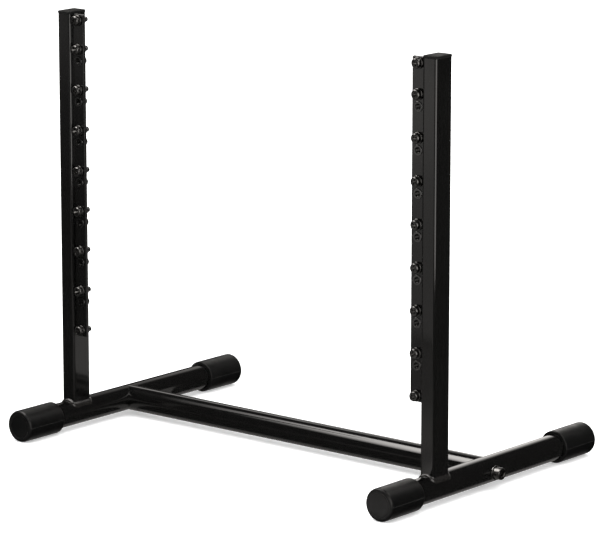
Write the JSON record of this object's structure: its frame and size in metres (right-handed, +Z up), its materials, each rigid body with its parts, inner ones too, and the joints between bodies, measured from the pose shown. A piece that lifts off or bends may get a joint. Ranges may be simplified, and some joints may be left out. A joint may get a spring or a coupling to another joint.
{
  "type": "table-top equipment rack stand",
  "caption": "Open table-top stand with two drilled rails on uprights, rubber-capped tube feet and a round crossbar, for rack panels.",
  "frame": {"origin": "middle of the footprint, on the table under the rubber caps", "axes": "+X to the right along the crossbar, -Y to the front where panels are fixed, +Z up"},
  "size_m": [0.5466, 0.354, 0.465],
  "materials": {
    "black_powder_coat": "gloss black powder coat",
    "black_rubber": "matte moulded rubber",
    "black_plastic": "satin moulded plastic",
    "black_oxide_steel": "black oxide, lightly oiled",
    "plain_steel": "bare turned steel",
    "insert_steel": "dark zinc plate under the paint",
    "weld_metal": "gloss black paint over a rippled bead"
  },
  "bodies": {
    "stand": {"crossbar": "black_powder_coat", "left_foot_tube": "black_powder_coat", "left_front_foot_cap": "black_rubber", "left_rear_foot_cap": "black_rubber", "left_crossbar_end_nut": "plain_steel", "left_crossbar_bolt": "black_oxide_steel", "left_crossbar_washer": "black_oxide_steel", "left_upright": "black_powder_coat", "left_upright_plug": "black_plastic", "left_rack_rail": "black_powder_coat", "left_rail_inserts": "insert_steel", "left_weld_beads": "weld_metal", "right_foot_tube": "black_powder_coat", "right_front_foot_cap": "black_rubber", "right_rear_foot_cap": "black_rubber", "right_crossbar_end_nut": "plain_steel", "right_crossbar_bolt": "black_oxide_steel", "right_crossbar_washer": "black_oxide_steel", "right_upright": "black_powder_coat", "right_upright_plug": "black_plastic", "right_rack_rail": "black_powder_coat", "right_rail_inserts": "insert_steel", "right_weld_beads": "weld_metal"},
    "left_washer_1": {"left_rack_washer_1": "black_oxide_steel"},
    "left_screw_1": {"left_rack_screw_1": "black_oxide_steel"},
    "left_washer_2": {"left_rack_washer_2": "black_oxide_steel"},
    "left_screw_2": {"left_rack_screw_2": "black_oxide_steel"},
    "left_washer_3": {"left_rack_washer_3": "black_oxide_steel"},
    "left_screw_3": {"left_rack_screw_3": "black_oxide_steel"},
    "left_washer_4": {"left_rack_washer_4": "black_oxide_steel"},
    "left_screw_4": {"left_rack_screw_4": "black_oxide_steel"},
    "left_washer_5": {"left_rack_washer_5": "black_oxide_steel"},
    "left_screw_5": {"left_rack_screw_5": "black_oxide_steel"},
    "left_washer_6": {"left_rack_washer_6": "black_oxide_steel"},
    "left_screw_6": {"left_rack_screw_6": "black_oxide_steel"},
    "left_washer_7": {"left_rack_washer_7": "black_oxide_steel"},
    "left_screw_7": {"left_rack_screw_7": "black_oxide_steel"},
    "left_washer_8": {"left_rack_washer_8": "black_oxide_steel"},
    "left_screw_8": {"left_rack_screw_8": "black_oxide_steel"},
    "left_washer_9": {"left_rack_washer_9": "black_oxide_steel"},
    "left_screw_9": {"left_rack_screw_9": "black_oxide_steel"},
    "right_washer_1": {"right_rack_washer_1": "black_oxide_steel"},
    "right_screw_1": {"right_rack_screw_1": "black_oxide_steel"},
    "right_washer_2": {"right_rack_washer_2": "black_oxide_steel"},
    "right_screw_2": {"right_rack_screw_2": "black_oxide_steel"},
    "right_washer_3": {"right_rack_washer_3": "black_oxide_steel"},
    "right_screw_3": {"right_rack_screw_3": "black_oxide_steel"},
    "right_washer_4": {"right_rack_washer_4": "black_oxide_steel"},
    "right_screw_4": {"right_rack_screw_4": "black_oxide_steel"},
    "right_washer_5": {"right_rack_washer_5": "black_oxide_steel"},
    "right_screw_5": {"right_rack_screw_5": "black_oxide_steel"},
    "right_washer_6": {"right_rack_washer_6": "black_oxide_steel"},
    "right_screw_6": {"right_rack_screw_6": "black_oxide_steel"},
    "right_washer_7": {"right_rack_washer_7": "black_oxide_steel"},
    "right_screw_7": {"right_rack_screw_7": "black_oxide_steel"},
    "right_washer_8": {"right_rack_washer_8": "black_oxide_steel"},
    "right_screw_8": {"right_rack_screw_8": "black_oxide_steel"},
    "right_washer_9": {"right_rack_washer_9": "black_oxide_steel"},
    "right_screw_9": {"right_rack_screw_9": "black_oxide_steel"}
  },
  "joints": [
    {"name": "left_screw_1_travel", "type": "slide", "parent": "stand", "child": "left_washer_1", "axis": [0, -1, 0], "range_m": [0, 0.014]},
    {"name": "left_screw_1_turn", "type": "hinge", "parent": "left_washer_1", "child": "left_screw_1", "pos_m": [-0.23255, -0.096, 0.45565], "axis": [0, -1, 0], "range_deg": [0, 5040]},
    {"name": "left_screw_2_travel", "type": "slide", "parent": "stand", "child": "left_washer_2", "axis": [0, -1, 0], "range_m": [0, 0.014]},
    {"name": "left_screw_2_turn", "type": "hinge", "parent": "left_washer_2", "child": "left_screw_2", "pos_m": [-0.23255, -0.096, 0.4239], "axis": [0, -1, 0], "range_deg": [0, 5040]},
    {"name": "left_screw_3_travel", "type": "slide", "parent": "stand", "child": "left_washer_3", "axis": [0, -1, 0], "range_m": [0, 0.014]},
    {"name": "left_screw_3_turn", "type": "hinge", "parent": "left_washer_3", "child": "left_screw_3", "pos_m": [-0.23255, -0.096, 0.37945], "axis": [0, -1, 0], "range_deg": [0, 5040]},
    {"name": "left_screw_4_travel", "type": "slide", "parent": "stand", "child": "left_washer_4", "axis": [0, -1, 0], "range_m": [0, 0.014]},
    {"name": "left_screw_4_turn", "type": "hinge", "parent": "left_washer_4", "child": "left_screw_4", "pos_m": [-0.23255, -0.096, 0.335], "axis": [0, -1, 0], "range_deg": [0, 5040]},
    {"name": "left_screw_5_travel", "type": "slide", "parent": "stand", "child": "left_washer_5", "axis": [0, -1, 0], "range_m": [0, 0.014]},
    {"name": "left_screw_5_turn", "type": "hinge", "parent": "left_washer_5", "child": "left_screw_5", "pos_m": [-0.23255, -0.096, 0.29055], "axis": [0, -1, 0], "range_deg": [0, 5040]},
    {"name": "left_screw_6_travel", "type": "slide", "parent": "stand", "child": "left_washer_6", "axis": [0, -1, 0], "range_m": [0, 0.014]},
    {"name": "left_screw_6_turn", "type": "hinge", "parent": "left_washer_6", "child": "left_screw_6", "pos_m": [-0.23255, -0.096, 0.2461], "axis": [0, -1, 0], "range_deg": [0, 5040]},
    {"name": "left_screw_7_travel", "type": "slide", "parent": "stand", "child": "left_washer_7", "axis": [0, -1, 0], "range_m": [0, 0.014]},
    {"name": "left_screw_7_turn", "type": "hinge", "parent": "left_washer_7", "child": "left_screw_7", "pos_m": [-0.23255, -0.096, 0.20165], "axis": [0, -1, 0], "range_deg": [0, 5040]},
    {"name": "left_screw_8_travel", "type": "slide", "parent": "stand", "child": "left_washer_8", "axis": [0, -1, 0], "range_m": [0, 0.014]},
    {"name": "left_screw_8_turn", "type": "hinge", "parent": "left_washer_8", "child": "left_screw_8", "pos_m": [-0.23255, -0.096, 0.1572], "axis": [0, -1, 0], "range_deg": [0, 5040]},
    {"name": "left_screw_9_travel", "type": "slide", "parent": "stand", "child": "left_washer_9", "axis": [0, -1, 0], "range_m": [0, 0.014]},
    {"name": "left_screw_9_turn", "type": "hinge", "parent": "left_washer_9", "child": "left_screw_9", "pos_m": [-0.23255, -0.096, 0.11275], "axis": [0, -1, 0], "range_deg": [0, 5040]},
    {"name": "right_screw_1_travel", "type": "slide", "parent": "stand", "child": "right_washer_1", "axis": [0, -1, 0], "range_m": [0, 0.014]},
    {"name": "right_screw_1_turn", "type": "hinge", "parent": "right_washer_1", "child": "right_screw_1", "pos_m": [0.23255, -0.096, 0.45565], "axis": [0, -1, 0], "range_deg": [0, 5040]},
    {"name": "right_screw_2_travel", "type": "slide", "parent": "stand", "child": "right_washer_2", "axis": [0, -1, 0], "range_m": [0, 0.014]},
    {"name": "right_screw_2_turn", "type": "hinge", "parent": "right_washer_2", "child": "right_screw_2", "pos_m": [0.23255, -0.096, 0.4239], "axis": [0, -1, 0], "range_deg": [0, 5040]},
    {"name": "right_screw_3_travel", "type": "slide", "parent": "stand", "child": "right_washer_3", "axis": [0, -1, 0], "range_m": [0, 0.014]},
    {"name": "right_screw_3_turn", "type": "hinge", "parent": "right_washer_3", "child": "right_screw_3", "pos_m": [0.23255, -0.096, 0.37945], "axis": [0, -1, 0], "range_deg": [0, 5040]},
    {"name": "right_screw_4_travel", "type": "slide", "parent": "stand", "child": "right_washer_4", "axis": [0, -1, 0], "range_m": [0, 0.014]},
    {"name": "right_screw_4_turn", "type": "hinge", "parent": "right_washer_4", "child": "right_screw_4", "pos_m": [0.23255, -0.096, 0.335], "axis": [0, -1, 0], "range_deg": [0, 5040]},
    {"name": "right_screw_5_travel", "type": "slide", "parent": "stand", "child": "right_washer_5", "axis": [0, -1, 0], "range_m": [0, 0.014]},
    {"name": "right_screw_5_turn", "type": "hinge", "parent": "right_washer_5", "child": "right_screw_5", "pos_m": [0.23255, -0.096, 0.29055], "axis": [0, -1, 0], "range_deg": [0, 5040]},
    {"name": "right_screw_6_travel", "type": "slide", "parent": "stand", "child": "right_washer_6", "axis": [0, -1, 0], "range_m": [0, 0.014]},
    {"name": "right_screw_6_turn", "type": "hinge", "parent": "right_washer_6", "child": "right_screw_6", "pos_m": [0.23255, -0.096, 0.2461], "axis": [0, -1, 0], "range_deg": [0, 5040]},
    {"name": "right_screw_7_travel", "type": "slide", "parent": "stand", "child": "right_washer_7", "axis": [0, -1, 0], "range_m": [0, 0.014]},
    {"name": "right_screw_7_turn", "type": "hinge", "parent": "right_washer_7", "child": "right_screw_7", "pos_m": [0.23255, -0.096, 0.20165], "axis": [0, -1, 0], "range_deg": [0, 5040]},
    {"name": "right_screw_8_travel", "type": "slide", "parent": "stand", "child": "right_washer_8", "axis": [0, -1, 0], "range_m": [0, 0.014]},
    {"name": "right_screw_8_turn", "type": "hinge", "parent": "right_washer_8", "child": "right_screw_8", "pos_m": [0.23255, -0.096, 0.1572], "axis": [0, -1, 0], "range_deg": [0, 5040]},
    {"name": "right_screw_9_travel", "type": "slide", "parent": "stand", "child": "right_washer_9", "axis": [0, -1, 0], "range_m": [0, 0.014]},
    {"name": "right_screw_9_turn", "type": "hinge", "parent": "right_washer_9", "child": "right_screw_9", "pos_m": [0.23255, -0.096, 0.11275], "axis": [0, -1, 0], "range_deg": [0, 5040]}
  ],
  "couplings": [
    {"joint": "left_screw_1_turn", "follows": "left_screw_1_travel", "rad_per_m": 6283.2},
    {"joint": "left_screw_2_turn", "follows": "left_screw_2_travel", "rad_per_m": 6283.2},
    {"joint": "left_screw_3_turn", "follows": "left_screw_3_travel", "rad_per_m": 6283.2},
    {"joint": "left_screw_4_turn", "follows": "left_screw_4_travel", "rad_per_m": 6283.2},
    {"joint": "left_screw_5_turn", "follows": "left_screw_5_travel", "rad_per_m": 6283.2},
    {"joint": "left_screw_6_turn", "follows": "left_screw_6_travel", "rad_per_m": 6283.2},
    {"joint": "left_screw_7_turn", "follows": "left_screw_7_travel", "rad_per_m": 6283.2},
    {"joint": "left_screw_8_turn", "follows": "left_screw_8_travel", "rad_per_m": 6283.2},
    {"joint": "left_screw_9_turn", "follows": "left_screw_9_travel", "rad_per_m": 6283.2},
    {"joint": "right_screw_1_turn", "follows": "right_screw_1_travel", "rad_per_m": 6283.2},
    {"joint": "right_screw_2_turn", "follows": "right_screw_2_travel", "rad_per_m": 6283.2},
    {"joint": "right_screw_3_turn", "follows": "right_screw_3_travel", "rad_per_m": 6283.2},
    {"joint": "right_screw_4_turn", "follows": "right_screw_4_travel", "rad_per_m": 6283.2},
    {"joint": "right_screw_5_turn", "follows": "right_screw_5_travel", "rad_per_m": 6283.2},
    {"joint": "right_screw_6_turn", "follows": "right_screw_6_travel", "rad_per_m": 6283.2},
    {"joint": "right_screw_7_turn", "follows": "right_screw_7_travel", "rad_per_m": 6283.2},
    {"joint": "right_screw_8_turn", "follows": "right_screw_8_travel", "rad_per_m": 6283.2},
    {"joint": "right_screw_9_turn", "follows": "right_screw_9_travel", "rad_per_m": 6283.2}
  ]
}
